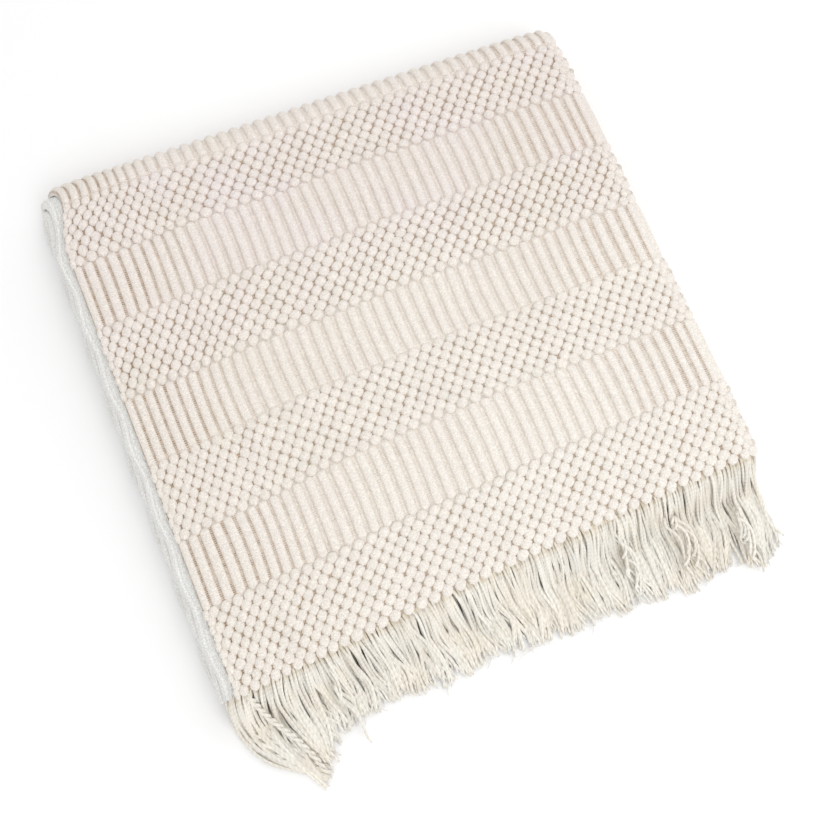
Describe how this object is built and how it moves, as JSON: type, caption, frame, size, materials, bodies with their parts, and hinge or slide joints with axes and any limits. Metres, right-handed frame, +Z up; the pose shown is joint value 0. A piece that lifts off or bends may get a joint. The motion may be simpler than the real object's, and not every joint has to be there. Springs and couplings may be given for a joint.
{
  "type": "folded fringed throw blanket",
  "caption": "Textured knit throw with ribbed and bubbled bands and a fringe along both ends, folded in thirds and then in quarters into a flat packet.",
  "frame": {"origin": "on the surface that the packet lies on, under the middle of the whole part with its fringe", "axes": "+X across the packet along the fringed edge, +Y from the fringe towards the back fold, +Z up"},
  "size_m": [0.4748, 0.5146, 0.0511],
  "materials": {
    "knit": "matt ivory knit with a slight fuzz",
    "fringe_yarn": "matt cream plied yarn"
  },
  "bodies": {
    "root": {"cloth": "knit", "fringe_upper": "fringe_yarn", "fringe_lower": "fringe_yarn"}
  },
  "joints": []
}
